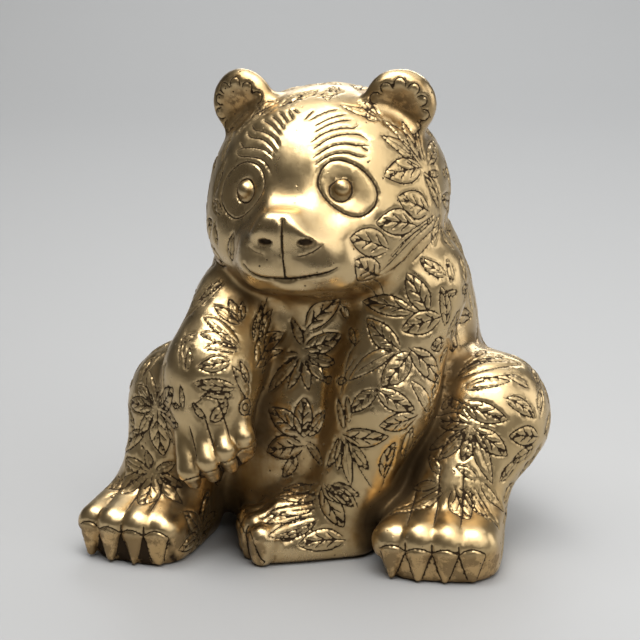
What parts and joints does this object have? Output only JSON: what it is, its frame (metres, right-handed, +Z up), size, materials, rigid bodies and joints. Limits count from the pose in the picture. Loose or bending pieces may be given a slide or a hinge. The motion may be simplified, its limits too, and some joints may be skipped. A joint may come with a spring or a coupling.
{
  "type": "bronze bear sculpture",
  "caption": "Seated cast bronze bear with a round head, cupped ears and ringed eyes, one forepaw hanging and the other planted between its hind feet, chased all over with sprays of leaves.",
  "frame": {"origin": "middle of the bounding box in plan, on the ground plane under the rump and feet", "axes": "+Z up, the bear looks along -Y, +X to the bear's left"},
  "size_m": [0.2768, 0.2314, 0.2916],
  "materials": {
    "bronze": "polished golden bronze with dark brown patina in the chased lines and creases"
  },
  "bodies": {
    "root": {"bear": "bronze"}
  },
  "joints": []
}
